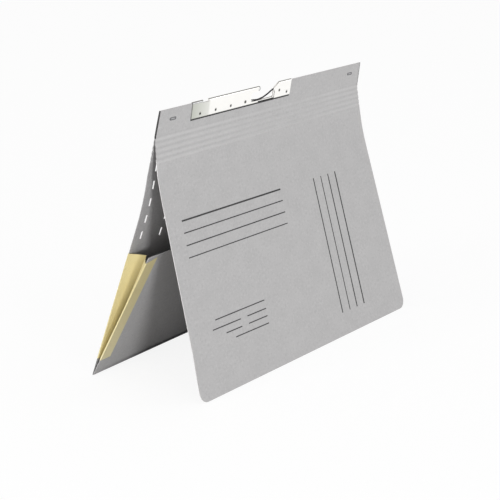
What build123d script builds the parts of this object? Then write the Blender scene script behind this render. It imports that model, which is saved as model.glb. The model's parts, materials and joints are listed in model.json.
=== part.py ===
from build123d import *
import math
import os

# Pendulum hanging file folder: two creased boards joined at a header, hung from one rail by
# a sheet-metal hanger with a sprung hook, with a cloth-sided pocket on the back board and a
# two-prong filing fastener inside. It stands open like a tent, front towards -Y.
# Sizes are in millimetres and degrees. Tilts are measured from the vertical, and are positive
# where a board runs backwards (+Y) on its way down.

# Boards
board_width = 318.0
back_length = 240.0
board_thickness = 0.5
fold_clearance = 0.1
header_tilt = 8.1
back_tilt = 19.1
back_bend_length = 54.0
front_crease_tilt = -8.3
front_tilt = -16.27
front_twist = 1.9
front_bend_length = 32.0
front_corner_radius = 9.0
end_taper_left = 5.6
end_taper_right = 2.5
end_taper_length = 52.0

# Creases that let both boards bend below the header
header_height = 22.0
crease_pitch = 4.4
crease_count = 5
crease_width = 2.0
crease_depth = 0.2

# Slits punched through the back board near its left end, in two columns, each given as its inset and
# the drop of its top slit
slit_length = 7.2
slit_width = 1.2
slit_pitch = 15.0
slit_rows = 6
slit_columns = ((9.7, 31.0), (36.5, 33.9))

# Pocket panel, folded up from the bottom edge of the back board. Its drop is measured along that
# board, from the header's top edge to the pocket's mouth.
pocket_drop = 113.4
pocket_opening = 8.37

# Cloth gussets that close the two ends of the pocket
cloth_thickness = 0.25
cloth_clearance = 0.03
gusset_bottom = 16.3
gusset_top_inset = 5.6
gusset_fold_depth = 10.0
gusset_lap = 12.5

# Hanger: sheet steel folded over the top of the header. Its slot is placed from its left end,
# and drops are measured down from the boards' top edge.
hanger_inset = 48.2
hanger_length = 146.0
hanger_depth = 13.4
hanger_rise = 0.8
hanger_thickness = 0.5
hanger_side_clearance = 0.3
slot_centre = 18.3
slot_width = 8.5
slot_depth = 1.6

# Hook cut into the hanger, with a round seat for the rail, placed from the hanger's right end
seat_radius = 3.2
seat_sweep = 135.0
seat_inset = 58.7
seat_drop = 6.4
nose_inset = 48.5
notch_bottom = 11.6
notch_inset = 26.8
notch_corner_radius = 1.5
ramp_bottom = 4.5
ramp_inset = 18.4

# Prongs lanced out of the hanger's front leg and driven through the boards, as (inset, drop), with
# the insets from its left and from its right end
left_prongs = ((11.4, 9.9), (33.1, 9.9))
right_prongs = ((91.2, 9.9), (18.0, 6.9), (5.7, 9.9))
prong_width = 1.7
prong_thickness = 0.4
prong_hole_height = 2.0
prong_clearance = 0.1

# Gate spring that closes the hook, coiled on its rivet, with its route as (inset, drop) from the
# hanger's right end
rivet_inset = 69.8
rivet_drop = 9.9
rivet_radius = 0.8
rivet_head_radius = 1.3
rivet_head = 0.25
rivet_clearance = 0.02
eye_clearance = 0.05
spring_thickness = 1.1
spring_width = 0.7
spring_bend_radius = 15.0
spring_route = ((64.2, 8.4), (58.4, 10.35), (49.5, 11.1), (41.6, 10.2), (34.0, 7.75), (27.6, 5.0))
window_floor = 13.15
window_clearance = 0.5

# Oval rivets that join the two boards at the ends of the header
oval_length = 8.2
oval_height = 2.4
oval_head = 0.25
oval_shank_length = 6.2
oval_shank_height = 1.2
oval_dish = 0.12
oval_inset_left = 23.6
oval_inset_right = 20.0
oval_drop = 8.55
oval_clearance = 0.05

# Filing fastener: base strip with two folded tongues, cover bar and two slides
fastener_drop = 40.5
hole_spacing = 80.0
base_length = 100.0
base_height = 9.0
strip_thickness = 0.3
strip_corner_radius = 2.0
bar_length = 130.0
bar_height = 8.0
bar_thickness = 0.5
tongue_length = 22.0
tongue_height = 4.0
slide_length = 9.0
slide_wall = 0.4
slide_lip = 1.2
slide_inset = 13.0
slide_clearance = 0.05

os.makedirs("parts", exist_ok=True)
half_board = board_thickness / 2
hanger_left = hanger_inset - board_width / 2
hanger_face = board_thickness + hanger_thickness
crease_band = crease_count * crease_pitch
pocket_height = back_length - pocket_drop
gusset_top = pocket_height - gusset_top_inset


def heading(tilt):
    """Unit vector in Y and Z that runs down a board of this tilt."""
    return Vector(math.sin(math.radians(tilt)), -math.cos(math.radians(tilt)))


def rearward(tilt):
    """Unit vector in Y and Z that points out of the back of a board of this tilt."""
    return Vector(math.cos(math.radians(tilt)), math.sin(math.radians(tilt)))


def board_path(start, tilt, runs):
    """Centre line down a board, in Y and Z. Each run is its length and the tilt at its end."""
    edges = []
    for length, end_tilt in runs:
        if end_tilt == tilt:
            edges.append(Line(start, start + heading(tilt) * length))
        else:
            turn = end_tilt - tilt
            radius = length / math.radians(abs(turn))
            edges.append(JernArc(start, heading(tilt), radius, turn))
        start = edges[-1] @ 1
        tilt = end_tilt
    return Wire(edges)


def strip_face(path, thickness):
    """Cross-section of a strip along a path, with rounded ends."""
    return make_face(path.offset_2d(thickness / 2).edges())


def along_width(face, width):
    """Extrude a cross-section in Y and Z to both sides of the middle."""
    return extrude(Plane.YZ * face, amount=width / 2, both=True)


# Construction starts at the middle of the header's top edge, between the two boards. In the
# header's own plane x runs along the fold, y up the header and z out of its front.
header_front = -rearward(header_tilt)
header_plane = Plane((0, 0, 0), x_dir=(1, 0, 0), z_dir=(0, header_front.X, header_front.Y))
header_section = Plane((0, 0, 0), x_dir=header_plane.z_dir, z_dir=-header_plane.x_dir)


def through_header(face, front, rear):
    """Prism of a face drawn on the header, between two heights over the plane of the fold."""
    return header_plane * Pos(0, 0, rear) * extrude(face, amount=front - rear)


def through_hanger(face, front, rear):
    """The same for a face drawn with x from the hanger's left end."""
    return through_header(Pos(hanger_left, 0) * face, front, rear)


def crease_tool(face_point, tilt, outward, distance):
    """Rod that presses one crease into a board, at a distance down from a point of its face."""
    radius = (crease_width**2 / 4 + crease_depth**2) / (2 * crease_depth)
    centre = face_point + heading(tilt) * distance + outward * (radius - crease_depth)
    rod = Cylinder(radius, board_width + 2 * crease_width, rotation=(0, 90, 0))
    return Pos(0, centre.X, centre.Y) * rod


# Back board, from the header's top edge down to the bottom fold
back_start = rearward(header_tilt) * half_board + heading(header_tilt) * half_board
straight_top = header_height + crease_band - half_board
back_runs = (
    (straight_top, header_tilt),
    (back_bend_length, back_tilt),
    (back_length - straight_top - back_bend_length - board_thickness, back_tilt),
)
back_path = board_path(back_start, header_tilt, back_runs)
back_foot = back_path @ 1
floor = back_foot.Y - half_board
back_cover = along_width(strip_face(back_path, board_thickness), board_width)
for number in range(crease_count):
    distance = header_height + number * crease_pitch
    rear_face = rearward(header_tilt) * board_thickness
    back_cover -= crease_tool(rear_face, header_tilt, rearward(header_tilt), distance)
for inset, top in slit_columns:
    for row in range(slit_rows):
        place = back_path.position_at(top + row * slit_pitch, PositionMode.LENGTH)
        slit = Box(slit_width, slit_length, slit_length)
        back_cover -= Pos(-board_width / 2 + inset, place.X, place.Y) * slit

# Front board's strip in the header, lying on the back board
fold_axis = heading(header_tilt) * header_height - rearward(header_tilt) * (half_board + fold_clearance)
strip_length = header_height - 2 * board_thickness - fold_clearance
strip_start = heading(header_tilt) * half_board - rearward(header_tilt) * half_board
strip_path = board_path(strip_start, header_tilt, ((strip_length, header_tilt),))
front_header = along_width(strip_face(strip_path, board_thickness), board_width)


# Front cover below the first crease, which is its hinge. It is pulled open further at the right.
def front_section(x, tilt):
    upper_runs = ((crease_band, front_crease_tilt), (front_bend_length, tilt))
    upper = board_path(fold_axis, front_crease_tilt, upper_runs)
    drop = (upper @ 1).Y - floor - half_board
    runs = upper_runs + ((drop / math.cos(math.radians(tilt)), tilt),)
    path = board_path(fold_axis, front_crease_tilt, runs)
    return Plane((x, 0, 0), x_dir=(0, 1, 0), z_dir=(1, 0, 0)) * strip_face(path, board_thickness)


left_section = front_section(-board_width / 2, front_tilt + front_twist)
right_section = front_section(board_width / 2, front_tilt - front_twist)
front_cover = loft([left_section, right_section], ruled=True)
front_outline = Pos(0, floor / 2) * Rectangle(board_width, -floor)
front_outline = fillet(front_outline.vertices().sort_by(Axis.Y)[:2], front_corner_radius)
front_cover &= extrude(Plane.XZ * front_outline, amount=back_length, both=True)
front_face = fold_axis - rearward(front_crease_tilt) * half_board
for number in range(1, crease_count):
    distance = number * crease_pitch
    front_cover -= crease_tool(front_face, front_crease_tilt, -rearward(front_crease_tilt), distance)

# Pocket panel, hinged on the bottom fold and standing open from the back board
fold_offset = (board_thickness + fold_clearance) / math.cos(math.radians(back_tilt))
pocket_axis = back_foot - Vector(fold_offset, 0)
pocket_tilt = back_tilt + pocket_opening
pocket_path = Wire([Line(pocket_axis, pocket_axis - heading(pocket_tilt) * (pocket_height - board_thickness))])
pocket_panel = along_width(strip_face(pocket_path, board_thickness), board_width)


# Cloth gussets: tape lapped on the outer faces of back board and pocket panel, folded inwards
# between them. Sections are cut square to the middle plane of the pocket.
def gusset_section(distance):
    spread = math.tan(math.radians(pocket_opening / 2))
    middle_tilt = back_tilt + pocket_opening / 2
    foot = back_foot - pocket_axis
    skin = half_board + cloth_thickness / 2 + cloth_clearance
    back = foot.dot(rearward(middle_tilt)) + (distance + foot.dot(heading(middle_tilt))) * spread
    panel = -distance * spread
    edge = -board_width / 2 - cloth_thickness / 2 - cloth_clearance
    lap_end = -board_width / 2 + gusset_lap
    tape = Polyline(
        (lap_end, back + skin),
        (edge, back + skin),
        (edge, back - skin),
        (-board_width / 2 + gusset_fold_depth, (back + panel) / 2),
        (edge, panel + skin),
        (edge, panel - skin),
        (lap_end, panel - skin),
    )
    outline = Wire(tape.edges()).offset_2d(cloth_thickness / 2, kind=Kind.INTERSECTION)
    centre = pocket_axis - heading(middle_tilt) * distance
    up = -heading(middle_tilt)
    plane = Plane((0, centre.X, centre.Y), x_dir=(1, 0, 0), z_dir=(0, up.X, up.Y))
    return plane * make_face(outline.edges())


gusset_left = loft([gusset_section(gusset_bottom), gusset_section(gusset_top)], ruled=True)
gusset_right = mirror(gusset_left, about=Plane.YZ)

# Hook notch, drawn with x from the hanger's left end and y up from the boards' top edge
seat_x = hanger_length - seat_inset
nose_end = hanger_length - nose_inset
notch_right = hanger_length - notch_inset
ramp_end = hanger_length - ramp_inset
nose_drop = seat_drop - seat_radius
nose_radius = (hanger_rise + nose_drop) / 2
nose_centre = nose_end - nose_radius
above = hanger_rise + hanger_face
seat_arc = CenterArc((seat_x, -seat_drop), seat_radius, 90, seat_sweep)
seat_exit = seat_arc @ 1
corner_centre = (notch_right - notch_corner_radius, -notch_bottom + notch_corner_radius)
corner_arc = CenterArc(corner_centre, notch_corner_radius, 270, 90)
notch_outline = [
    Line((nose_centre, above), (nose_centre, hanger_rise)),
    ThreePointArc((nose_centre, hanger_rise), (nose_end, hanger_rise - nose_radius), (nose_centre, -nose_drop)),
    Line((nose_centre, -nose_drop), (seat_x, -nose_drop)),
    seat_arc,
    Line(seat_exit, (seat_exit.X, -notch_bottom)),
    Line((seat_exit.X, -notch_bottom), corner_arc @ 0),
    corner_arc,
    Line(corner_arc @ 1, (notch_right, -ramp_bottom)),
    Line((notch_right, -ramp_bottom), (ramp_end, hanger_rise)),
    Line((ramp_end, hanger_rise), (ramp_end, above)),
    Line((ramp_end, above), (nose_centre, above)),
]
notch = make_face(notch_outline)
slot = Pos(slot_centre, (above - slot_depth) / 2) * Rectangle(slot_width, above + slot_depth)

# Hanger, a U-section with the notch and the slot cut through both legs
leg_middle = board_thickness + hanger_thickness / 2
bend_centre = hanger_rise - hanger_face
leg_end = hanger_thickness / 2 - hanger_depth
hanger_path = Wire(
    [
        Line((leg_middle, leg_end), (leg_middle, bend_centre)),
        ThreePointArc((leg_middle, bend_centre), (0, bend_centre + leg_middle), (-leg_middle, bend_centre)),
        Line((-leg_middle, bend_centre), (-leg_middle, leg_end)),
    ]
)
hanger_profile = header_section * strip_face(hanger_path, hanger_thickness)
hanger_middle = hanger_left + hanger_length / 2
hanger = Pos(hanger_middle, 0, 0) * extrude(hanger_profile, amount=hanger_length / 2, both=True)
hanger -= through_hanger(notch + slot, hanger_face, -hanger_face)
rivet_x = hanger_length - rivet_inset
rivet_hole = Pos(rivet_x, -rivet_drop) * Circle(rivet_radius + rivet_clearance)
hanger -= through_hanger(rivet_hole, hanger_face, -hanger_face)

# Openings that both boards have under the hanger: its seat, hook notch, window of the gate
# spring, slot and prongs
seat_width = hanger_length + 2 * hanger_side_clearance
hanger_seat = Pos(hanger_length / 2, (above + bend_centre) / 2) * Rectangle(seat_width, above - bend_centre)
eye_radius = rivet_radius + eye_clearance + spring_thickness
window_left = rivet_x - eye_radius - window_clearance
window_width = notch_right + window_clearance - window_left
window_middle = Pos(window_left + window_width / 2, (above - window_floor) / 2)
window = window_middle * Rectangle(window_width, above + window_floor)
hanger_openings = hanger_seat + notch + window + slot
prong_places = left_prongs + tuple((hanger_length - inset, drop) for inset, drop in right_prongs)
for x, drop in prong_places:
    prong_middle = prong_hole_height / 2 - prong_thickness / 2 - drop
    hole_width = prong_width + 2 * prong_clearance
    prong_hole = Pos(x, -drop) * Rectangle(hole_width, prong_hole_height)
    hanger -= through_hanger(prong_hole, hanger_face, board_thickness)
    prong = Pos(x, prong_middle) * Rectangle(prong_width, prong_thickness)
    hanger += through_hanger(prong, hanger_face, prong_clearance - board_thickness)
    hanger_openings += Pos(x, prong_middle) * Rectangle(hole_width, prong_thickness + 2 * prong_clearance)

hanger_cut = through_hanger(hanger_openings, hanger_face, -hanger_face)
back_cover -= hanger_cut
front_header -= hanger_cut

# Holes for the oval rivets near the header's ends
oval_left = oval_inset_left - board_width / 2
oval_right = board_width / 2 - oval_inset_right
for x in (oval_left, oval_right):
    shank_hole = SlotOverall(oval_shank_length + 2 * oval_clearance, oval_shank_height + 2 * oval_clearance)
    oval_hole = through_header(Pos(x, -oval_drop) * shank_hole, board_thickness, -board_thickness)
    back_cover -= oval_hole
    front_header -= oval_hole

# Both boards are trimmed aslant at their ends, so that they narrow towards the top
for end, taper in ((-board_width / 2, end_taper_left), (board_width / 2, end_taper_right)):
    trim_outline = Polyline(
        (end, -end_taper_length),
        (end - 2 * taper, end_taper_length),
        (end + 2 * taper, end_taper_length),
        close=True,
    )
    trim = extrude(Plane.XZ * make_face(trim_outline.edges()), amount=back_length, both=True)
    back_cover -= trim
    front_header -= trim
    front_cover -= trim

# Rivet that carries the gate spring between the hanger's legs
rivet_head_face = Pos(rivet_x, -rivet_drop) * Circle(rivet_head_radius)
spring_rivet = through_hanger(Pos(rivet_x, -rivet_drop) * Circle(rivet_radius), hanger_face, -hanger_face)
spring_rivet += through_hanger(rivet_head_face, hanger_face + rivet_head, hanger_face)
spring_rivet += through_hanger(rivet_head_face, -hanger_face, -hanger_face - rivet_head)

# Gate spring, an eye on the rivet and a leaf that rises across the mouth of the hook
leaf_start = (rivet_x, eye_radius - spring_thickness / 2 - rivet_drop)
leaf_points = [leaf_start] + [(hanger_length - inset, -drop) for inset, drop in spring_route]
leaf_path = Wire(FilletPolyline(*leaf_points, radius=spring_bend_radius).edges())
spring_face = strip_face(leaf_path, spring_thickness) + Pos(rivet_x, -rivet_drop) * Circle(eye_radius)
spring_face -= Pos(rivet_x, -rivet_drop) * Circle(rivet_radius + eye_clearance)
gate_spring = through_hanger(spring_face, spring_width / 2, -spring_width / 2)


# Oval rivets with dished heads
def oval_rivet(x):
    place = Pos(x, -oval_drop)
    head = place * SlotOverall(oval_length, oval_height)
    shank = place * SlotOverall(oval_shank_length, oval_shank_height)
    rivet = through_header(shank, board_thickness, -board_thickness)
    rivet += through_header(head, board_thickness + oval_head, board_thickness)
    rivet += through_header(head, -board_thickness, -board_thickness - oval_head)
    return rivet - through_header(shank, board_thickness + oval_head, board_thickness + oval_head - oval_dish)


# Filing fastener on the inside of the back board, with its levels counted up from that face
bar_bottom = strip_thickness + slide_wall + 2 * slide_clearance
bar_top = bar_bottom + bar_thickness
tongue_bottom = bar_top + slide_clearance
tongue_top = tongue_bottom + strip_thickness
roof_bottom = tongue_top + slide_clearance
roof_top = roof_bottom + slide_wall
lip_bottom = strip_thickness + slide_clearance
lip_top = lip_bottom + slide_wall
fastener_middle = Pos(0, -fastener_drop)
base_outline = RectangleRounded(base_length, base_height, strip_corner_radius)
bar_outline = RectangleRounded(bar_length, bar_height, strip_corner_radius)
fastener_base = through_header(fastener_middle * base_outline, strip_thickness, 0)
fastener_bar = through_header(fastener_middle * bar_outline, bar_top, bar_bottom)
for side in (-1, 1):
    root = fastener_middle * Pos(side * hole_spacing / 2, 0)
    upright = root * Rectangle(strip_thickness, tongue_height)
    tail_shift = Pos(side * (tongue_length - strip_thickness) / 2, 0)
    tail = root * tail_shift * Rectangle(tongue_length, tongue_height)
    fastener_base += through_header(upright, tongue_top, strip_thickness)
    fastener_base += through_header(tail, tongue_top, tongue_bottom)
    clear_slot = Rectangle(strip_thickness + 2 * slide_clearance, tongue_height + 2 * slide_clearance)
    fastener_bar -= through_header(root * clear_slot, bar_top, bar_bottom)


def fastener_slide(side):
    """Clip that runs along the cover bar and holds one tongue down."""
    place = fastener_middle * Pos(side * (hole_spacing / 2 + slide_inset), 0)
    inner_height = bar_height + 2 * slide_clearance
    outer = place * Rectangle(slide_length, inner_height + 2 * slide_wall)
    inner = place * Rectangle(slide_length, inner_height)
    mouth = place * Rectangle(slide_length, inner_height - 2 * slide_lip)
    clip = through_header(outer, roof_top, lip_bottom)
    clip -= through_header(inner, roof_bottom, lip_top)
    return clip - through_header(mouth, lip_top, lip_bottom)


nodes = {
    "back_cover": back_cover,
    "front_header": front_header,
    "front_cover": front_cover,
    "pocket_panel": pocket_panel,
    "gusset_left": gusset_left,
    "gusset_right": gusset_right,
    "hanger": hanger,
    "spring_rivet": spring_rivet,
    "gate_spring": gate_spring,
    "header_rivet_left": oval_rivet(oval_left),
    "header_rivet_right": oval_rivet(oval_right),
    "fastener_base": fastener_base,
    "fastener_bar": fastener_bar,
    "fastener_slide_left": fastener_slide(-1),
    "fastener_slide_right": fastener_slide(1),
}

# The finished folder stands on z = 0, centred on the origin
box = Compound(children=[Compound(shape.solids()) for shape in nodes.values()]).bounding_box()
standing = Pos(0, -(box.min.Y + box.max.Y) / 2, -box.min.Z)
for name, shape in nodes.items():
    export_step(standing * Compound(shape.solids()), f"parts/{name}.step")


def place_of(x, point):
    """Finished position of a point in Y and Z, in millimetres."""
    position = standing.position + Vector(x, point.X, point.Y)
    return [round(value, 3) for value in position]


def on_header(x, drop):
    return place_of(x, heading(header_tilt) * drop)


print("size", [round(value, 2) for value in box.size])
print("front fold", place_of(0, fold_axis))
print("pocket fold", place_of(0, pocket_axis))
print("spring rivet", on_header(hanger_left + rivet_x, rivet_drop))
print("rail seat", on_header(hanger_left + seat_x, seat_drop))
print("hanger slot", on_header(hanger_left + slot_centre, slot_depth / 2))
print("paper prongs", on_header(0, fastener_drop))
print("header top", on_header(0, 0))
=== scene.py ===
import json
import math

import bmesh
import bpy
from mathutils import Matrix, Vector


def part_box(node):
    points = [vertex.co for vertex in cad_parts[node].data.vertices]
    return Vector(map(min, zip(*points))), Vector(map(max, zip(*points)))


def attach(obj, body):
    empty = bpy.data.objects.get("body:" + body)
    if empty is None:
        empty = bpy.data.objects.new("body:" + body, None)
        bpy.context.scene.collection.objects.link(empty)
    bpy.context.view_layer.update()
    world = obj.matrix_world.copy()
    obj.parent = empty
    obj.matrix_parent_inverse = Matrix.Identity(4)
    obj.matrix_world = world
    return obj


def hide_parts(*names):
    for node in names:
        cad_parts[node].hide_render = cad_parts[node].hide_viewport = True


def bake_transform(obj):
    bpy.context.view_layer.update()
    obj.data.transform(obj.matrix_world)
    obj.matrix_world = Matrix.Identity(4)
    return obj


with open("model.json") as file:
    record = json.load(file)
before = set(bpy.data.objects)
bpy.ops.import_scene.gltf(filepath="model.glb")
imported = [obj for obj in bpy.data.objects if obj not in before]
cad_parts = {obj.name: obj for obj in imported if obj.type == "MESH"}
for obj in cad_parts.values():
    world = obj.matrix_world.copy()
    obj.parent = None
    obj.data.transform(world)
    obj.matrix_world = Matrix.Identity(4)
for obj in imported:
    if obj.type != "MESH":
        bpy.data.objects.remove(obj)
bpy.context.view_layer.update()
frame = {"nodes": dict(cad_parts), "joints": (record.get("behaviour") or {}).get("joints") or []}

# Back board and pocket panel
# One sheet of grey pressboard: the back cover from the header's top edge down to the bottom,
# where it is folded up into the pocket panel. It has pressed creases and punched slits.
MM = 0.001
board_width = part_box("back_cover")[1][0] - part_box("back_cover")[0][0]
board_thickness = 0.5 * MM
header_height = 22 * MM
end_tapers = (5.6 * MM, 2.5 * MM)
end_taper_length = 52 * MM
end_taper_reach = 21 * MM
header_tilt = math.radians(8.1)
back_tilt = math.radians(19.1)
back_bend_length = 54 * MM
crease_pitch = 4.4 * MM
crease_count = 5
crease_width = 3.2 * MM
crease_depth = 0.3 * MM
crease_inside = 0.6
crease_parts = 8
crease_band = crease_count * crease_pitch
fold_clearance = 0.1 * MM
bottom_fold_radius = 0.3 * MM
bottom_fold_parts = 12
pocket_height = 126.6 * MM
pocket_tilt = back_tilt + math.radians(8.37)
slit_size = (1.9 * MM, 7.2 * MM)
slit_columns = ((9.8 * MM, 31.25 * MM), (36.5 * MM, 34 * MM))
slit_pitch = 15 * MM
slit_rows = 6
hanger_span = (-111.1 * MM, 35.5 * MM)
hanger_seat = 0.25 * MM
spring_window = (-37.05 * MM, 8.9 * MM, 13.15 * MM)
ramp_gap = (8.5 * MM, 16.9 * MM, 4.6 * MM)
ramp_steps = 7
rider_slot = (-96.75 * MM, -88.25 * MM, 1.6 * MM)
header_bulge = 0.1 * MM
header_bulge_reach = 24 * MM
header_bulge_drop = 1.05 * header_height
header_bulge_round = 0.7
board_steps = (9 * MM, 5 * MM)
end_reaches = [reach * MM for reach in (0.5, 2, 4, 7, 11, 16, 22)]
least_step = 0.02 * MM
sharp_angle = math.radians(40)


def heading(tilt):
    """Direction in Y and Z that runs down a board of this tilt from the vertical."""
    return Vector((math.sin(tilt), -math.cos(tilt)))


def rearward(tilt):
    """Direction in Y and Z that points out of the back of a board of this tilt."""
    return Vector((math.cos(tilt), math.sin(tilt)))


def walk(start, runs, distance):
    """Point in Y and Z and tilt at a distance along runs of (length, tilt, tilt at the end)."""
    point = start.copy()
    for length, tilt, end_tilt in runs:
        run = min(distance, length)
        bend = (end_tilt - tilt) / length
        if bend == 0:
            point += heading(tilt) * run
        else:
            point.x += (math.cos(tilt) - math.cos(tilt + bend * run)) / bend
            point.y += (math.sin(tilt) - math.sin(tilt + bend * run)) / bend
        distance -= run
        if distance <= 0:
            return point, tilt + bend * run
    return point, end_tilt


def stations(low, high, step, edges):
    """Rising places from low to high, about a step apart, with every edge among them."""
    fixed = sorted(edge for edge in set(edges) | {low, high} if low <= edge <= high)
    places = [fixed[0]]
    for left, right in zip(fixed, fixed[1:]):
        count = max(1, math.ceil((right - left) / step))
        places += [left + (right - left) * part / count for part in range(1, count + 1)]
    following = places[1:] + [high + 1]
    return [place for place, after in zip(places, following) if after - place > least_step]


def crease_press(drop, first, count):
    """Depth of the pressed creases at a distance down a board."""
    depth = 0.0
    for number in range(count):
        offset = (drop - first - number * crease_pitch) / crease_width
        if abs(offset) < 0.5:
            depth += crease_depth * (0.5 + 0.5 * math.cos(2 * math.pi * offset))
    return depth


def crease_rows(first, count):
    """Rows down a board that give its creases their form."""
    half = crease_parts // 2
    middles = [first + number * crease_pitch for number in range(count)]
    offsets = [crease_width * part / crease_parts for part in range(-half, half + 1)]
    return [middle + offset for middle in middles for offset in offsets]


def closed_piece(name, shape):
    """Piece of a finished mesh, with its normals outwards and its sharp edges marked."""
    bmesh.ops.recalc_face_normals(shape, faces=shape.faces)
    for edge in shape.edges:
        edge.smooth = len(edge.link_faces) == 2 and edge.calc_face_angle() < sharp_angle
    mesh = bpy.data.meshes.new(name)
    shape.to_mesh(mesh)
    shape.free()
    piece = bpy.data.objects.new(name, mesh)
    bpy.context.scene.collection.objects.link(piece)
    return piece


def board_piece(name, columns, rows, place, holes):
    """Closed sheet over a grid of columns and rows, left open where a cell's middle is in a hole.
    place(x, drop, side) gives a point of the outer (+1) or inner (-1) face."""
    shape = bmesh.new()
    sheet = shape.verts.layers.float_vector.new("sheet")
    corners = {}

    def corner(i, j, side):
        if (i, j, side) not in corners:
            vertex = shape.verts.new(place(columns[i], rows[j], side))
            vertex[sheet] = (vertex.co.x, rows[j], side)
            corners[i, j, side] = vertex
        return corners[i, j, side]

    def filled(i, j):
        if not (0 <= i < len(columns) - 1 and 0 <= j < len(rows) - 1):
            return False
        x, drop = (columns[i] + columns[i + 1]) / 2, (rows[j] + rows[j + 1]) / 2
        return not any(
            left < x < right and top < drop < bottom for left, right, top, bottom in holes
        )

    for i in range(len(columns) - 1):
        for j in range(len(rows) - 1):
            if not filled(i, j):
                continue
            loop = [(i, j), (i, j + 1), (i + 1, j + 1), (i + 1, j)]
            shape.faces.new([corner(*spot, 1) for spot in loop]).smooth = True
            shape.faces.new([corner(*spot, -1) for spot in reversed(loop)]).smooth = True
            neighbours = [(i - 1, j), (i, j + 1), (i + 1, j), (i, j - 1)]
            for number, (a, b) in enumerate(zip(loop, loop[1:] + loop[:1])):
                if not filled(*neighbours[number]):
                    shape.faces.new([corner(*b, 1), corner(*a, 1), corner(*a, -1), corner(*b, -1)])
    return closed_piece(name, shape)


class Field:
    """An output of a material's nodes. Sums, products and comparisons add Math nodes."""

    def __init__(self, tree, socket=None):
        self.tree = tree
        self.socket = socket

    def node(self, kind, settings=None, sockets=None, output=0):
        """Add a node, with its settings first, then the values or links of its sockets."""
        added = self.tree.nodes.new(kind)
        for key, value in (settings or {}).items():
            setattr(added, key, value)
        for key, value in (sockets or {}).items():
            if isinstance(value, Field):
                self.tree.links.new(value.socket, added.inputs[key])
            else:
                added.inputs[key].default_value = value
        return Field(self.tree, added.outputs[output] if len(added.outputs) else None)

    def maths(self, operation, *values):
        """Add a Math node."""
        return self.node("ShaderNodeMath", {"operation": operation}, dict(enumerate(values)))

    def __add__(self, other):
        return self.maths("ADD", self, other)

    __radd__ = __add__

    def __mul__(self, other):
        return self.maths("MULTIPLY", self, other)

    __rmul__ = __mul__

    def __sub__(self, other):
        return self.maths("SUBTRACT", self, other)

    def __rsub__(self, other):
        return self.maths("SUBTRACT", other, self)

    def __truediv__(self, other):
        return self.maths("DIVIDE", self, other)

    def __gt__(self, other):
        return self.maths("GREATER_THAN", self, other)

    def __lt__(self, other):
        return self.maths("LESS_THAN", self, other)

    def __abs__(self):
        return self.maths("ABSOLUTE", self)


def finish(name):
    """An empty material and the field that adds its nodes."""
    material = bpy.data.materials.new(name)
    material.use_nodes = True
    material.node_tree.nodes.clear()
    return material, Field(material.node_tree)


def parts(field, where):
    """The three values of a vector."""
    split = field.node("ShaderNodeSeparateXYZ", {}, {0: where})
    return [Field(field.tree, socket) for socket in split.socket.node.outputs]


def noise(field, where, scale, detail):
    """Soft random pattern, its scale in spots to the metre."""
    return field.node("ShaderNodeTexNoise", {}, {"Vector": where, "Scale": scale, "Detail": detail})


def mixed(field, factor, first, second):
    """Colour between two colours, by the colour sockets of a Mix node: 6, 7 and output 2."""
    settings = {"data_type": "RGBA"}
    return field.node("ShaderNodeMix", settings, {0: factor, 6: first, 7: second}, output=2)


def bumped(field, height, strength, distance):
    """Normal of a surface with fine relief."""
    sockets = {"Strength": strength, "Distance": distance, "Height": height}
    return field.node("ShaderNodeBump", {}, sockets)


def surface(field, colour, roughness, bump=None, **constants):
    """Close a material with its shader."""
    sockets = {"Base Color": colour, "Roughness": roughness}
    if bump is not None:
        sockets["Normal"] = bump
    sockets.update(constants)
    shader = field.node("ShaderNodeBsdfPrincipled", {}, sockets)
    field.node("ShaderNodeOutputMaterial", {}, {"Surface": shader})


board_pale = (0.545, 0.538, 0.538, 1)
board_dark = (0.405, 0.4, 0.402, 1)
board_edge_pale = (0.76, 0.735, 0.73, 1)
# Black for the painted shadows and shade on the boards.
board_shadow = (0.012, 0.012, 0.013, 1)
crease_shade = (0.37, 0.365, 0.368, 1)
crease_light = (0.58, 0.573, 0.573, 1)
board_clouds = (60, 3)
board_grain = (900, 2)
board_flecks = (420, 4)
board_tooth = (0.25, 0.1 * MM)
board_roughness = 0.72
board_gloss = {"Specular IOR Level": 0.12}
pale_flecks = (0.6, 0.42)
dark_flecks = (0.4, 0.45)
mark_grain = 0.18
end_line = 0.75 * MM
rim_side = 0.97
fold_shadow = (-0.6 * MM, 2 * MM, 5.5 * MM)
fold_shadow_span = (-150 * MM, -70 * MM)
low_end_shade = (17 * MM, 0.85)
crease_gleam = 0.9 * MM
crease_weights = (0.2, 0.6)
crease_fade = (-110 * MM, 50 * MM, 0.64)
crease_return = (60 * MM, 120 * MM, 0.45)


def pressboard(name, marks):
    """Grey board of pressed fibres: soft clouds, fine flecks and a little tooth.
    marks(x, drop, side) gives the masks and tones of its cut edges, painted crease highlight and
    shade, painted shadows and shade, and print."""
    material, field = finish(name)
    where = field.node("ShaderNodeAttribute", {"attribute_name": "sheet"}, output="Vector")
    clouds = noise(field, where, *board_clouds)
    grain = noise(field, where, *board_grain)
    flecks = noise(field, where, *board_flecks)
    colour = mixed(field, clouds * 0.5 + grain * 0.5, board_dark, board_pale)
    colour = mixed(field, (flecks > pale_flecks[0]) * pale_flecks[1], colour, board_pale)
    colour = mixed(field, (flecks < dark_flecks[0]) * dark_flecks[1], colour, board_dark)
    for mask, tone in marks(*parts(field, where)):
        colour = mixed(field, mask * (1 - mark_grain * grain), colour, tone)
    tooth = bumped(field, grain * 0.6 + flecks * 0.4, *board_tooth)
    surface(field, colour, grain * 0.2 + board_roughness, tooth, **board_gloss)
    return material


def ramp(value, start, end):
    """0 to 1 between two places."""
    part = (value - start) / (end - start)
    return part.maths("MINIMUM", part.maths("MAXIMUM", part, 0.0), 1.0)


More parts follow.
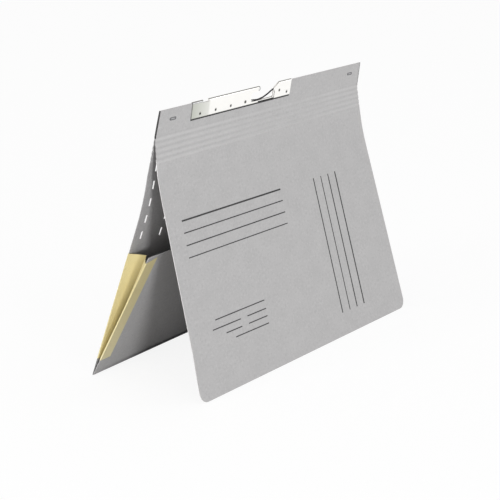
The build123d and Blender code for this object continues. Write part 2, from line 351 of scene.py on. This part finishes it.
def edge_marks(x, drop, side, pale_ends):
    """Paler cut edges, painted shade in the gap at the ends of the header, and painted highlight
    and shade along the creases.
    """
    rim = abs(side) < rim_side
    narrowing = 1 - ramp(drop, 0.0, end_taper_length)
    from_left = x + board_width / 2 - narrowing * end_tapers[0]
    from_right = board_width / 2 - narrowing * end_tapers[1] - x
    nearest = x.maths("MINIMUM", from_left, from_right)
    at_end = nearest < end_line
    # Painted highlight and shade on the creases: a pale line a little below each crease and shade
    # between, strong at the left end, faint in the middle, stronger again at the right.
    turns = (drop - header_height - crease_gleam) * (2 * math.pi / crease_pitch)
    waves = x.maths("COSINE", turns) * 0.5 + 0.5
    faint = ramp(x, *crease_fade[:2]) * crease_fade[2]
    painted_crease_strength = 1 - faint + ramp(x, *crease_return[:2]) * crease_return[2]
    band_start = header_height - crease_pitch / 2
    creased = (drop > band_start) * (drop < band_start + crease_band)
    return [
        (creased * painted_crease_strength * (1 - waves) * crease_weights[0], crease_shade),
        (creased * painted_crease_strength * waves * crease_weights[1], crease_light),
        (rim if pale_ends else rim * (1 - at_end), board_edge_pale),
        # Painted shade: the gap between the two boards at the ends of the header is drawn black.
        (at_end * (drop < header_height), board_shadow),
    ]


fold_joint = next(joint for joint in frame["joints"] if joint["name"] == "front_fold")
fold_place = Vector(fold_joint["pos_m"][1:])
header_top = fold_place - heading(header_tilt) * header_height
header_top += rearward(header_tilt) * (board_thickness / 2 + fold_clearance)
back_start = header_top + rearward(header_tilt) * board_thickness / 2
back_upper = [
    (header_height + crease_band, header_tilt, header_tilt),
    (back_bend_length, header_tilt, back_tilt),
]
back_bend_drop = header_height + crease_band + back_bend_length
back_bend_end = walk(back_start, back_upper, back_bend_drop)[0]
bottom_fold_level = board_thickness / 2 + bottom_fold_radius
back_fall = back_bend_end.y - bottom_fold_level - bottom_fold_radius * math.sin(back_tilt)
back_straight = back_fall / math.cos(back_tilt)
bottom_fold_turn = pocket_tilt - back_tilt - math.pi
bottom_fold_length = bottom_fold_radius * -bottom_fold_turn
back_runs = back_upper + [
    (back_straight, back_tilt, back_tilt),
    (bottom_fold_length, back_tilt, back_tilt + bottom_fold_turn),
    (pocket_height - board_thickness, pocket_tilt - math.pi, pocket_tilt - math.pi),
]
bottom_drop = back_bend_drop + back_straight
pocket_top_drop = bottom_drop + bottom_fold_length + pocket_height - board_thickness


def bulge(x, drop):
    """Gap that opens between the two boards beyond the header's rivets."""
    reach = max(0.0, 1 - (board_width / 2 - abs(x)) / header_bulge_reach)
    along = max(0.0, math.sin(math.pi * min(1.0, drop / header_bulge_drop)))
    return header_bulge * reach**2 * along**header_bulge_round


def tapered(x, drop):
    """Place along the fold, drawn in near the ends, where both boards narrow towards the top."""
    taper = end_tapers[0] if x < 0 else end_tapers[1]
    reach = max(0.0, 1 - (board_width / 2 - abs(x)) / end_taper_reach)
    return x - math.copysign(taper * reach * max(0.0, 1 - drop / end_taper_length), x)


def back_place(x, drop, side):
    """Point of the back board's outer or inner face."""
    point, tilt = walk(back_start, back_runs, drop)
    pressed = crease_press(drop, header_height, crease_count)
    pressed *= 1.0 if side > 0 else crease_inside
    point = point + rearward(tilt) * (side * board_thickness / 2 - pressed + bulge(x, drop))
    return Vector((tapered(x, drop), point.x, point.y))


left_end, right_end = -board_width / 2, board_width / 2
header_holes = [
    (*hanger_span, -1, hanger_seat),
    (*spring_window[:2], -1, spring_window[2]),
    (*rider_slot[:2], -1, rider_slot[2]),
]
ramp_run = ramp_gap[1] - ramp_gap[0]
step_edges = [ramp_gap[0] + ramp_run * part / ramp_steps for part in range(ramp_steps + 1)]
for step, (step_start, step_end) in enumerate(zip(step_edges, step_edges[1:])):
    header_holes.append((step_start, step_end, -1, ramp_gap[2] * (1 - step / ramp_steps)))
half_width, half_length = slit_size[0] / 2, slit_size[1] / 2
slits = []
for inset, top in slit_columns:
    for row in range(slit_rows):
        middle, drop = left_end + inset, top + row * slit_pitch
        across_slit = (middle - half_width, middle + half_width)
        slits.append((*across_slit, drop - half_length, drop + half_length))
back_holes = header_holes + slits
end_columns = [end * (board_width / 2 - reach) for end in (-1, 1) for reach in end_reaches]
hole_columns = [edge for hole in back_holes for edge in hole[:2]]
back_columns = stations(left_end, right_end, board_steps[0], end_columns + hole_columns)
fold_parts = range(bottom_fold_parts + 1)
bottom_rows = [bottom_drop + bottom_fold_length * part / bottom_fold_parts for part in fold_parts]
hole_rows = [edge for hole in back_holes for edge in hole[2:]]
back_edges = crease_rows(header_height, crease_count) + bottom_rows + hole_rows
back_rows = stations(0.0, pocket_top_drop, board_steps[1], back_edges)
back_board = board_piece("back_board", back_columns, back_rows, back_place, back_holes)


def back_marks(x, drop, side):
    """Edges, painted shadow along the ridge of the bottom fold, fainter at its left end, and
    painted shade on the left cut edge just above it."""
    fold_end = bottom_drop + bottom_fold_length
    above_shadow = ramp(drop, fold_end + fold_shadow[1], fold_end + fold_shadow[2])
    ridge = (drop > bottom_drop + fold_shadow[0]) * (1 - above_shadow)
    left_rim = (abs(side) < rim_side) * (x < left_end + end_line)
    low_end = left_rim * (drop > bottom_drop - low_end_shade[0]) * (drop < fold_end)
    return edge_marks(x, drop, side, False) + [
        # Painted shadow along the ridge of the bottom fold where it meets the floor, stronger
        # towards the right.
        (ridge * ramp(x, *fold_shadow_span), board_shadow),
        # Painted shade on the back board's left cut edge just above the bottom fold.
        (low_end * low_end_shade[1], board_shadow),
    ]


back_board.data.materials.append(pressboard("pressboard_back", back_marks))
bottom_fold = walk(back_start, back_runs, bottom_drop)[0] - rearward(back_tilt) * bottom_fold_radius
pocket_middle_tilt = (back_tilt + pocket_tilt) / 2
across_fold = rearward(pocket_middle_tilt) * bottom_fold_radius
fold_rear, fold_front = bottom_fold + across_fold, bottom_fold - across_fold
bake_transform(back_board)
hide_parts("back_cover", "pocket_panel")

# Front board
# The other sheet of grey pressboard: a header strip that lies on the back board, a sharp fold
# at the first crease, and the cover below it, printed with ruled lines for a title.
front_crease_tilt = math.radians(-8.3)
front_tilts = (math.radians(-14.37), math.radians(-18.17))
front_bend_length = 32 * MM
front_fold_length = 6 * MM
front_fold_parts = 8
front_corner_radius = 9 * MM
front_corner_parts = 12
front_hollow = 1.35 * MM
front_hollow_start = (25 * MM, 60 * MM)
front_hollow_end = (195 * MM, 222 * MM)
front_hollow_reach = 30 * MM
ink_black = (0.018, 0.017, 0.018, 1)
print_skews = (0.01, 0.0118)
title_lines = [
    (92.5 * MM, 1.43 * MM),
    (102.49 * MM, 0.97 * MM),
    (112.67 * MM, 1 * MM),
    (122.76 * MM, 0.9 * MM),
]
title_span = (-137.6 * MM, 4.7 * MM)
spine_lines = [
    (58.6 * MM, 1.42 * MM),
    (70.96 * MM, 1.24 * MM),
    (83.1 * MM, 1.55 * MM),
    (95.3 * MM, 1.7 * MM),
]
spine_span = (92.4 * MM, 216.85 * MM)
form_width = 0.95 * MM
form_end = -51.1 * MM
form_lines = [
    (178.4 * MM, -120.3 * MM),
    (185.7 * MM, -125.6 * MM),
    (192.1 * MM, -109.3 * MM),
    (198.5 * MM, -98.1 * MM),
]
form_gap = (-87.3 * MM, -78 * MM, 182 * MM, 195 * MM)
hanger_shadow = (13.2 * MM, 14.6 * MM)
hanger_ends = (-110.9 * MM, 35.1 * MM)
hanger_end_shadow = (0.2 * MM, 0.25 * MM, 0.4)
prong_places = [
    (-99.4 * MM, 9.9 * MM),
    (-77.7 * MM, 9.9 * MM),
    (-56 * MM, 9.9 * MM),
    (17.2 * MM, 6.9 * MM),
    (29.5 * MM, 9.9 * MM),
]
prong_shadow = 1.5 * MM
outer_side = 0.9
front_end_shade = (38 * MM, 0.8)

front_start = header_top - rearward(header_tilt) * board_thickness / 2
front_runs = []
for tilt in front_tilts:
    runs = [
        (header_height - front_fold_length / 2, header_tilt, header_tilt),
        (front_fold_length, header_tilt, front_crease_tilt),
        (crease_band - front_fold_length / 2, front_crease_tilt, front_crease_tilt),
        (front_bend_length, front_crease_tilt, tilt),
    ]
    upper_drop = sum(run[0] for run in runs)
    straight = (walk(front_start, runs, upper_drop)[0].y - board_thickness / 2) / math.cos(tilt)
    front_runs.append(runs + [(straight, tilt, tilt)])
front_lower = sum(runs[-1][0] for runs in front_runs) / 2
front_drop = upper_drop + front_lower


def portion(value, start, end):
    """0 to 1 between two places, for numbers."""
    return min(1.0, max(0.0, (value - start) / (end - start)))


def front_place(x, drop, side):
    """Point of the front board's outer or inner face: round low corners, a left edge that is a
    little hollow, and a lower half that twists from one end to the other."""
    rise = front_drop - drop
    if rise < front_corner_radius:
        below_centre = front_corner_radius - rise
        cut = front_corner_radius - math.sqrt(front_corner_radius**2 - below_centre**2)
        x *= 1 - cut / (board_width / 2)
    hollow = portion(drop, *front_hollow_start) * (1 - portion(drop, *front_hollow_end))
    x += front_hollow * hollow * (1 - portion(x, left_end, left_end + front_hollow_reach))
    pressed = crease_press(drop, header_height + crease_pitch, crease_count - 1)
    pressed *= 1.0 if side > 0 else crease_inside
    ends = []
    for runs in front_runs:
        below = max(0.0, drop - upper_drop)
        point, tilt = walk(front_start, runs, drop - below + below * runs[-1][0] / front_lower)
        lift = side * board_thickness / 2 - pressed + bulge(x, drop)
        ends.append(point - rearward(tilt) * lift)
    point = ends[0].lerp(ends[1], (x - left_end) / board_width)
    return Vector((tapered(x, drop), point.x, point.y))


def prong_spots(x, drop):
    """Round spots at the clinched prongs, where shadow is painted."""
    spots = 0.0
    for across_prong, down_prong in prong_places:
        offset, below = x - across_prong, drop - down_prong
        spots = (offset * offset + below * below < prong_shadow**2) + spots
    return spots


def front_marks(x, drop, side):
    """Edges, printed lines, a little askew on the sheet, painted shadow round the hanger and in its
    prong holes, and painted shade on the left cut edge below the header."""
    across = x + drop * print_skews[0]
    down = drop - x * print_skews[1]

    def rule(place, middle, width, along, start, end):
        return (abs(place - middle) < width / 2) * (along > start) * (along < end)

    mask = 0.0
    for middle, width in title_lines:
        mask = rule(down, middle, width, across, *title_span) + mask
    for middle, width in spine_lines:
        mask = rule(across, middle, width, down, *spine_span) + mask
    form = 0.0
    for middle, start in form_lines:
        form = rule(down, middle, form_width, across, start, form_end) + form
    gap = (across > form_gap[0]) * (across < form_gap[1])
    gap = gap * (down > form_gap[2]) * (down < form_gap[3])
    under_hanger = (drop > hanger_shadow[0]) * (drop < hanger_shadow[1])
    under_hanger = under_hanger * (x > hanger_ends[0]) * (x < hanger_ends[1])
    from_end = abs(x - hanger_ends[0] + hanger_end_shadow[0])
    left_end_shadow = (from_end < hanger_end_shadow[1]) * (drop < hanger_shadow[1])
    left_rim = (abs(side) < rim_side) * (x < left_end + end_taper_reach)
    upper_end = left_rim * (drop < front_end_shade[0]) * (drop > header_height)
    outer = side > outer_side
    return edge_marks(x, drop, side, True) + [
        # Painted shade on the front board's left cut edge below the header, carrying on the dark
        # line at the header's end.
        (upper_end * front_end_shade[1], board_shadow),
        (outer * (mask + form * (1 - gap)), ink_black),
        # Painted shadow under the hanger's lower edge, beside its left end and in the prong holes.
        (outer * (under_hanger + prong_spots(x, drop) + left_end_shadow * hanger_end_shadow[2]), board_shadow),
    ]


corner_rows = []
for part in range(front_corner_parts + 1):
    turn = math.radians(90 * part / front_corner_parts)
    corner_rows.append(front_drop - front_corner_radius * (1 - math.cos(turn)))
half = front_fold_parts // 2
fold_offsets = [front_fold_length * part / front_fold_parts for part in range(-half, half + 1)]
fold_rows = [header_height + offset for offset in fold_offsets]
front_edges = crease_rows(header_height + crease_pitch, crease_count - 1) + fold_rows + corner_rows
front_edges += [edge for hole in header_holes for edge in hole[2:]]
hole_columns = [edge for hole in header_holes for edge in hole[:2]]
front_columns = stations(left_end, right_end, board_steps[0], end_columns + hole_columns)
front_rows = stations(0.0, front_drop, board_steps[1], front_edges)
front_board = board_piece("front_board", front_columns, front_rows, front_place, header_holes)
front_board.data.materials.append(pressboard("pressboard_front", front_marks))
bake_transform(front_board)
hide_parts("front_header", "front_cover")

# Cloth gussets
# A strip of yellow bookbinder's cloth at each end of the pocket, glued on the outside of the back
# board and of the pocket panel, with its middle creased inwards so that the pocket can open.
cloth_thickness = 0.25 * MM
cloth_clearance = 0.05 * MM
gusset_bottom = 16.3 * MM
gusset_tops = {
    "back_lap": (118 * MM, 118 * MM),
    "back_leaf": (118 * MM, 120.2 * MM),
    "panel_leaf": (120.2 * MM, 120 * MM),
    "panel_lap": (120 * MM, 123.2 * MM),
}
gusset_fold_depth = 10 * MM
gusset_lap = 12.5 * MM
gusset_sag = 0.5 * MM
low_sag = 0.3
gusset_lean = 0.012
tape_counts = (36, 14)
thread_pitch = 0.42 * MM
thread_wander = 0.1 * MM
thread_shade = 0.35
cloth_yellow = (0.67, 0.575, 0.285, 1)
cloth_light = (0.77, 0.68, 0.38, 1)
cloth_shade = (0.54, 0.445, 0.195, 1)
cloth_lit = (0.86, 0.78, 0.5, 1)
cloth_crease_shade = (0.11, 0.09, 0.03, 1)
cloth_clouds = (90, 3)
cloth_wobble = (500, 2)
cloth_relief = (0.35, 0.12 * MM)
cloth_roughness = 0.68
cloth_gloss = {"Sheen Weight": 0.15, "Specular IOR Level": 0.35}
crease_shade_reach = (0.8 * MM, 6 * MM)
crease_shade_top = (50 * MM, 120 * MM)
crease_shade_loss = 0.8
lit_span = (16 * MM, 90 * MM)
lit_weight = 0.65
lit_start = gusset_lap - 0.1 * MM


def book_cloth():
    """Dyed linen: warp and weft threads under a thin glaze, with slubs, painted light towards the
    bottom and painted shade along the crease of the back leaf."""
    material, field = finish("book_cloth")
    where = field.node("ShaderNodeAttribute", {"attribute_name": "sheet"}, output="Vector")
    clouds = noise(field, where, *cloth_clouds)
    wobble = noise(field, where, *cloth_wobble)
    across, along, from_crease = parts(field, where)
    threads = 2 * math.pi / thread_pitch
    warp = field.maths("SINE", (across + wobble * thread_wander) * threads)
    weft = field.maths("SINE", (along + wobble * thread_wander) * threads)
    weave = warp * weft * 0.5 + 0.5
    colour = mixed(field, clouds * 0.6 + wobble * 0.4, cloth_yellow, cloth_light)
    colour = mixed(field, (1 - weave) * thread_shade, colour, cloth_shade)
    # Painted light on the laps and the panel leaf, strongest at the bottom.
    lower_light = (from_crease > lit_start) * (1 - ramp(along, *lit_span)) * lit_weight
    colour = mixed(field, lower_light, colour, cloth_lit)
    # Painted shade in the valley of the crease on the back leaf, fading towards the top.
    valley_shade = 1 - ramp(from_crease, *crease_shade_reach)
    valley_shade = valley_shade * (1 - crease_shade_loss * ramp(along, *crease_shade_top))
    colour = mixed(field, valley_shade, colour, cloth_crease_shade)
    relief = bumped(field, weave, *cloth_relief)
    surface(field, colour, clouds * 0.15 + cloth_roughness, relief, **cloth_gloss)
    return material


def tape_points(rise):
    """Cloth's corners across the pocket's end at a rise from the bottom fold, in the plane square
    to the pocket's middle: (x from the board's end inwards, distance to the rear)."""
    half_angle = (pocket_tilt - back_tilt) / 2
    skin = board_thickness / 2 + cloth_thickness / 2 + cloth_clearance
    back = bottom_fold_radius + rise * math.tan(half_angle)
    panel = -back
    edge = -cloth_thickness / 2 - cloth_clearance
    crease = (gusset_fold_depth, -gusset_lean * (rise - gusset_bottom))
    return {
        "back_lap": [(gusset_lap, back + skin), (edge, back + skin), (edge, back - skin)],
        "back_leaf": [(edge, back - skin), crease],
        "panel_leaf": [crease, (edge, panel + skin)],
        "panel_lap": [(edge, panel + skin), (edge, panel - skin), (gusset_lap, panel - skin)],
    }


def tape_piece(name, part, side, material):
    """One flat of the folded tape, as a thin closed sheet. A leaf bows, more towards its top."""
    shape = bmesh.new()
    sheet = shape.verts.layers.float_vector.new("sheet")
    count_along, count_across = tape_counts
    grid = {}
    for j in range(count_along + 1):
        height = j / count_along
        for i in range(count_across + 1):
            first_top, last_top = gusset_tops[part]
            top = first_top + (last_top - first_top) * i / count_across
            rise = gusset_bottom + (top - gusset_bottom) * height
            points = [Vector(point) for point in tape_points(rise)[part]]
            lengths = [(b - a).length for a, b in zip(points, points[1:])]
            reach = sum(lengths) * i / count_across
            k = 0
            while k < len(lengths) - 1 and reach > lengths[k]:
                reach -= lengths[k]
                k += 1
            run = (points[k + 1] - points[k]).normalized()
            spot = points[k] + run * reach
            normal = Vector((-run.y, run.x))
            if "leaf" in part:
                bow = math.sin(math.pi * i / count_across) * gusset_sag
                bow *= low_sag + (1 - low_sag) * height
                spot = spot + normal * bow * (1 if part == "back_leaf" else -1)
            for face in (1, -1):
                offset = spot + normal * face * cloth_thickness / 2
                line = bottom_fold - heading(pocket_middle_tilt) * rise
                line = line + rearward(pocket_middle_tilt) * offset.y
                x = side * (board_width / 2 - offset.x)
                vertex = shape.verts.new((x, line.x, line.y))
                across = sum(lengths) * i / count_across
                from_crease = sum(lengths) - across if part == "back_leaf" else gusset_lap
                vertex[sheet] = (across, rise, from_crease)
                grid[i, j, face] = vertex
    for i in range(count_across):
        for j in range(count_along):
            for face in (1, -1):
                loop = [(i, j), (i + 1, j), (i + 1, j + 1), (i, j + 1)]
                shape.faces.new([grid[(*spot, face)] for spot in loop]).smooth = True
    outline = [(i, 0) for i in range(count_across)]
    outline += [(count_across, j) for j in range(count_along)]
    outline += [(i, count_along) for i in range(count_across, 0, -1)]
    outline += [(0, j) for j in range(count_along, 0, -1)]
    for a, b in zip(outline, outline[1:] + outline[:1]):
        shape.faces.new([grid[(*a, 1)], grid[(*b, 1)], grid[(*b, -1)], grid[(*a, -1)]])
    piece = closed_piece(name, shape)
    piece.data.materials.append(material)
    return piece


linen = book_cloth()
for side, side_name in ((-1, "left"), (1, "right")):
    for part, bodies in (
        ("back_lap", ["folder"]),
        ("back_leaf", ["folder", "pocket"]),
        ("panel_leaf", ["pocket", "folder"]),
        ("panel_lap", ["pocket"]),
    ):
        piece = tape_piece(f"gusset_{side_name}_{part}", part, side, linen)
        if len(bodies) == 1:
            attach(piece, *bodies)
        else:
            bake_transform(piece)
        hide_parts(f"gusset_{side_name}")

# Hanger and spring rivet
# A strip of tinned sheet steel folded over the header and clinched through the boards by lanced
# prongs. Its hook takes the rail. A small rivet between its legs carries the gate spring.
steel_pale = (0.95, 0.94, 0.915, 1)
steel_dark = (0.87, 0.86, 0.83, 1)
steel_dim_reflection = (0.5, 0.515, 0.46, 1)
steel_deep_shade_and_rivet = (0.2, 0.195, 0.18, 1)
steel_shade = (0.5, 0.5, 0.5, 1)
steel_shadow_and_rivet_dark = (0.012, 0.012, 0.012, 1)
dim_reflection_span = (-112 * MM, -86 * MM)
dim_reflection_edge = 2.5 * MM
dim_reflection_least = 0.4
prong_shade = 0.55
steel_rolling = (20, 900, 900)
steel_lines = (1, 2)
steel_clouds = (70, 3)
steel_rubs = (600, 4)
steel_relief = (0.06, 0.05 * MM)
sheet_roughness = 0.2
stud_roughness = 0.3
fold_turn = 0.9 * MM
fold_line = -0.38 * MM
nose_tip = (-15.3 * MM, 1.2 * MM, 0.7 * MM, 2.4 * MM)
nose_back = 1 * MM
foot_line = 12.95 * MM
hook_shadow = (-15 * MM, 9 * MM, 12.2 * MM)
window_edge = (9.2 * MM, 0.6 * MM, 6.2 * MM)


def tinned_steel(name, pale, dark, roughness, marks=None):
    """Bright plated sheet: faint rolling lines, soft clouds and small rubs.
    marks(x, drop) gives the masks and tones of its darker places, on the hanger painted shade,
    shadows and a darker reflection."""
    material, field = finish(name)
    where = field.node("ShaderNodeTexCoord", {}, output="Object")
    stretched = field.node("ShaderNodeMapping", {}, {"Vector": where, "Scale": steel_rolling})
    rolled = noise(field, stretched, *steel_lines)
    clouds = noise(field, where, *steel_clouds)
    rubs = noise(field, where, *steel_rubs)
    colour = mixed(field, clouds * 0.5 + rolled * 0.2, pale, dark)
    if marks:
        x, y, z = parts(field, where)
        run = heading(header_tilt)
        drop = (y - header_top.x) * run.x + (z - header_top.y) * run.y
        for mask, tone in marks(x, drop):
            colour = mixed(field, mask, colour, tone)
    rough = rolled * 0.12 + rubs * 0.1 + roughness
    surface(field, colour, rough, bumped(field, rolled, *steel_relief), Metallic=1.0)
    return material


def dress(node, material):
    """Give a node of the frame its finish."""
    slots = frame["nodes"][node].data.materials
    slots.clear()
    slots.append(material)


def hanger_marks(x, drop):
    """Painted darker reflection at the left end, painted shade on the top fold, the prongs, the
    nose tip, the lower edge and beside the spring, and painted shadow under the hook.
    """
    along_nose, below_nose = x - nose_tip[0], drop - nose_tip[1]
    from_tip = along_nose * along_nose + below_nose * below_nose
    shaded_tip = (from_tip > nose_tip[2] ** 2) * (from_tip < nose_tip[3] ** 2)
    shaded_tip = shaded_tip * (x > nose_tip[0] - nose_back)
    from_dim_reflection = dim_reflection_span[1] - x
    deepening = ramp(from_dim_reflection, 0.0, dim_reflection_span[1] - dim_reflection_span[0])
    dim_reflection = ramp(from_dim_reflection, 0.0, dim_reflection_edge) * (dim_reflection_least + (1 - dim_reflection_least) * deepening)
    under_hook = (x > hook_shadow[0]) * (x < hook_shadow[1]) * (drop > hook_shadow[2])
    beside_spring = (abs(x - window_edge[0]) < window_edge[1]) * (drop > window_edge[2])
    return [
        # Painted darker reflection on the hanger's left end, deepening towards the end.
        (dim_reflection, steel_dim_reflection),
        # Painted shade over the lamps' highlight on the top fold, left of the rider slot.
        ((drop < fold_turn) * (x < rider_slot[0]), steel_shade),
        # Painted shade round the rounded nose tip.
        (shaded_tip, steel_shade),
        # Painted shadow round the prong holes on the hanger.
        (prong_spots(x, drop) * prong_shade, steel_deep_shade_and_rivet),
        # Painted shade: a dark line along the top fold.
        (drop < fold_line, steel_deep_shade_and_rivet),
        # Painted shadow along the hanger's lower edge.
        (drop > foot_line, steel_deep_shade_and_rivet),
        # Painted shade on the window's right edge beside the spring.
        (beside_spring, steel_deep_shade_and_rivet),
        # Painted shadow under the hook.
        (under_hook, steel_shadow_and_rivet_dark),
    ]


tinned_sheet = tinned_steel("tinned_sheet", steel_pale, steel_dark, sheet_roughness, hanger_marks)
dress("hanger", tinned_sheet)
dress("spring_rivet", tinned_steel("tinned_rivet", steel_deep_shade_and_rivet, steel_shadow_and_rivet_dark, stud_roughness))

# Gate spring
# A flat spring of blued steel, coiled round its rivet, that springs down to let the rail into the
# hook and closes the hook's mouth behind it.
blue_black = (0.006, 0.006, 0.007, 1)
blue_worn = (0.03, 0.03, 0.033, 1)
spring_rubs = (800, 4)
spring_clouds = (150, 3)
spring_roughness = 0.45
spring_gloss = {"Specular IOR Level": 0.12}


def blued_steel():
    """Heat-blued spring steel, nearly black, with paler rubbed spots."""
    material, field = finish("blued_spring")
    where = field.node("ShaderNodeTexCoord", {}, output="Object")
    rubs = noise(field, where, *spring_rubs)
    clouds = noise(field, where, *spring_clouds)
    colour = mixed(field, rubs * clouds, blue_black, blue_worn)
    surface(field, colour, rubs * 0.2 + spring_roughness, **spring_gloss)
    return material


dress("gate_spring", blued_steel())

# Oval rivets
# Dished tubular rivets of dull zinc-plated steel, one at each end of the header, that hold the
# two boards together.
zinc_pale = (0.4, 0.4, 0.405, 1)
zinc_dark = (0.24, 0.24, 0.245, 1)
zinc_ring = (0.15, 0.15, 0.155, 1)
zinc_roughness = 0.38
oval_places = [(-135.4 * MM, 8.55 * MM), (139 * MM, 8.55 * MM)]
oval_dish = (3 * MM, 0.55 * MM)


def rivet_marks(x, drop):
    """Darker rolled rim round the dish."""
    dish = 0.0
    for across_rivet, down_rivet in oval_places:
        across, down = (x - across_rivet) / oval_dish[0], (drop - down_rivet) / oval_dish[1]
        dish = (across * across + down * down < 1) + dish
    return [(1 - dish, zinc_ring)]


dull_zinc = tinned_steel("dull_zinc", zinc_pale, zinc_dark, zinc_roughness, rivet_marks)
dress("header_rivet_left", dull_zinc)
dress("header_rivet_right", dull_zinc)

# Filing fastener
# A base strip with two flexible tongues, a cover bar and two sliding clips, all of thin plated
# steel, on the inside of the back board.
bar_pale = (0.46, 0.46, 0.45, 1)
bar_dark = (0.34, 0.34, 0.33, 1)
tongue_pale = (0.8, 0.8, 0.78, 1)
tongue_dark = (0.66, 0.66, 0.64, 1)
slide_pale = (0.68, 0.68, 0.66, 1)
slide_dark = (0.55, 0.55, 0.53, 1)
strip_edge = (0.13, 0.13, 0.125, 1)
bar_roughness = 0.35
tongue_roughness = 0.22
slide_roughness = 0.3
fastener_drop = 40.5 * MM
bar_rim = 3.3 * MM
slide_place = 53 * MM
slide_rim = 3.7 * MM


def bar_marks(x, drop):
    """Darker rolled edges along the cover bar."""
    return [(abs(drop - fastener_drop) > bar_rim, strip_edge)]


def slide_marks(x, drop):
    """Darker cut ends of the clips."""
    return [(abs(abs(x) - slide_place) > slide_rim, strip_edge)]


plated_slide = tinned_steel("plated_slide", slide_pale, slide_dark, slide_roughness, slide_marks)
plated_bar = tinned_steel("plated_bar", bar_pale, bar_dark, bar_roughness, bar_marks)
dress("fastener_base", tinned_steel("plated_tongue", tongue_pale, tongue_dark, tongue_roughness))
dress("fastener_bar", plated_bar)
for node in ("fastener_slide_left", "fastener_slide_right"):
    dress(node, plated_slide)

# Stage
# A white sweep under soft studio light: low boxes left of the front, at the left end and right of
# the front, and a pale surround. The camera stands to the left of the front, a little above.
floor_size = 6.0
floor_grey = (0.84, 0.84, 0.84, 1)
floor_shaded = (0.16, 0.16, 0.16, 1)
floor_glow = 0.88
surround_level = 0.55
lamp_distance = 2.5
soft_boxes = [
    ("key_box", -30, 3, (0.5, 0.35), 18.2),
    ("left_box", -100, 8, (1.0, 0.5), 29),
    ("fill_box", 35, 3, (1.0, 0.35), 14.6),
]
camera_target = Vector((-23.99 * MM, header_top.x, header_top.y - 141.38 * MM))
camera_azimuth = math.radians(-56.487)
camera_elevation = math.radians(16.281)
camera_roll = math.radians(1.076)
camera_distance = 1.27278
camera_lens = 105.74
camera_sensor = 36
camera_reach = 20


def seen_white(field):
    """1 where the camera or a reflection looks, 0 for light that bounces."""
    path = field.node("ShaderNodeLightPath").socket.node.outputs
    rays = ("Is Camera Ray", "Is Glossy Ray", "Is Transmission Ray")
    camera, glossy, through = (Field(field.tree, path[ray]) for ray in rays)
    return field.maths("MINIMUM", camera + glossy + through, 1.0)


floor_mesh = bpy.data.meshes.new("floor")
half = floor_size / 2
floor_corners = [(-half, -half, 0), (half, -half, 0), (half, half, 0), (-half, half, 0)]
floor_mesh.from_pydata(floor_corners, [], [(0, 1, 2, 3)])
floor = bpy.data.objects.new("floor", floor_mesh)
bpy.context.scene.collection.objects.link(floor)
paper, field = finish("white_sweep")
matte = field.node("ShaderNodeBsdfDiffuse", {}, {"Color": floor_grey})
shaded = field.node("ShaderNodeBsdfDiffuse", {}, {"Color": floor_shaded})
white = field.node("ShaderNodeEmission", {}, {"Color": (1, 1, 1, 1), "Strength": floor_glow})
pale = field.node("ShaderNodeAddShader", {}, {0: shaded, 1: white})
swept = field.node("ShaderNodeMixShader", {}, {0: seen_white(field), 1: matte, 2: pale})
field.node("ShaderNodeOutputMaterial", {}, {"Surface": swept})
floor_mesh.materials.append(paper)

world = bpy.data.worlds.new("studio")
bpy.context.scene.world = world
world.use_nodes = True
world.node_tree.nodes.clear()
sky = Field(world.node_tree)
strength = seen_white(sky) * (1 - surround_level) + surround_level
glow = sky.node("ShaderNodeBackground", {}, {"Color": (1, 1, 1, 1), "Strength": strength})
sky.node("ShaderNodeOutputWorld", {}, {"Surface": glow})


def direction(azimuth, elevation):
    """Unit vector from the folder to a place round it."""
    level = math.cos(elevation)
    return Vector((math.sin(azimuth) * level, -math.cos(azimuth) * level, math.sin(elevation)))


def soft_box(name, azimuth, elevation, size, power):
    """Oblong area lamp that looks at the folder from a direction round it."""
    lamp = bpy.data.lights.new(name, "AREA")
    lamp.shape = "RECTANGLE"
    lamp.size, lamp.size_y = size
    lamp.energy = power
    away = direction(math.radians(azimuth), math.radians(elevation))
    box = bpy.data.objects.new(name, lamp)
    box.location = camera_target + away * lamp_distance
    box.rotation_euler = (-away).to_track_quat("-Z", "Y").to_euler()
    bpy.context.scene.collection.objects.link(box)


for soft_box_values in soft_boxes:
    soft_box(*soft_box_values)

back = direction(camera_azimuth, camera_elevation)
right = (-back).cross(Vector((0, 0, 1))).normalized()
up = back.cross(right)
rolled_right = right * math.cos(camera_roll) + up * math.sin(camera_roll)
rolled_up = up * math.cos(camera_roll) - right * math.sin(camera_roll)
turned = Matrix((rolled_right, rolled_up, back)).transposed()
camera_data = bpy.data.cameras.new("camera")
camera_data.lens = camera_lens
camera_data.sensor_width = camera_sensor
camera_data.clip_end = camera_reach
camera = bpy.data.objects.new("camera", camera_data)
camera.matrix_world = Matrix.Translation(camera_target + back * camera_distance) @ turned.to_4x4()
bpy.context.scene.collection.objects.link(camera)
bpy.context.scene.camera = camera
bpy.context.scene.view_settings.view_transform = "Standard"
